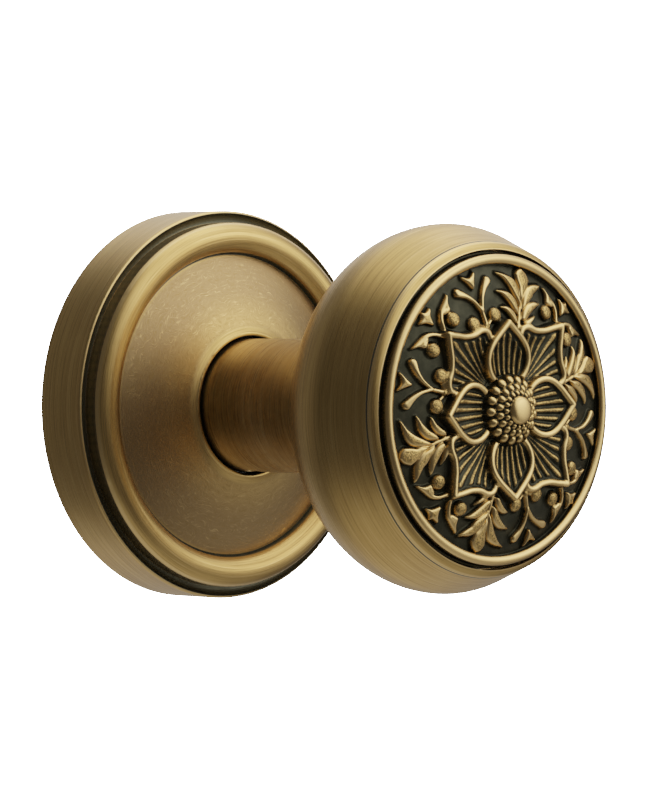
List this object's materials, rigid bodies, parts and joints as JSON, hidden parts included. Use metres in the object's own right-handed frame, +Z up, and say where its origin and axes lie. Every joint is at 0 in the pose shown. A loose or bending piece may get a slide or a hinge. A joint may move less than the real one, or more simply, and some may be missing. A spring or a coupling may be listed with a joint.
{
  "type": "door knob",
  "caption": "Round ornamental door knob on a stepped round rosette, with a sprung turning neck, square spindle and through-bolt posts.",
  "frame": {"origin": "centre of the rosette's back on the face of the door, on the knob's axis", "axes": "+Z up along the door, -Y out from the door along the knob's axis, +X to the right seen from the front"},
  "size_m": [0.0636, 0.1048, 0.0636],
  "materials": {
    "satin_brass": "antique brass, fine turned brushing, satin lacquer",
    "relief_brass": "antique brass relief with dark patina in the recesses",
    "bronze": "sintered bronze",
    "zinc_steel": "zinc plated pressing",
    "rivet_steel": "zinc plated rivet",
    "turned_steel": "bright turned steel",
    "spring_steel": "blued spring steel",
    "black_steel": "black oxide",
    "nylon": "natural nylon"
  },
  "bodies": {
    "rosette": {"rosette_cover": "satin_brass", "mounting_plate": "zinc_steel", "shank_bush": "bronze", "spring_housing": "zinc_steel", "housing_lid": "zinc_steel", "thrust_washer": "nylon", "return_spring": "spring_steel", "housing_rivets": "rivet_steel", "clip_rivets": "rivet_steel", "cover_clip_1": "spring_steel", "cover_clip_2": "spring_steel", "cover_clip_3": "spring_steel", "upper_post": "turned_steel", "lower_post": "turned_steel"},
    "knob": {"knob_neck": "satin_brass", "knob_shell": "satin_brass", "face_medallion": "relief_brass", "retaining_ring": "spring_steel", "shim_washer": "spring_steel", "return_cam": "zinc_steel", "spindle": "turned_steel", "set_screw": "black_steel", "tie_washer": "spring_steel", "tie_bolt": "black_steel"}
  },
  "joints": [
    {"name": "knob_turn", "type": "hinge", "parent": "rosette", "child": "knob", "pos_m": [0, 0, 0], "axis": [0, -1, 0], "range_deg": [-60, 60], "stiffness_Nm_per_rad": 0.15, "deforming": ["return_spring"]}
  ]
}
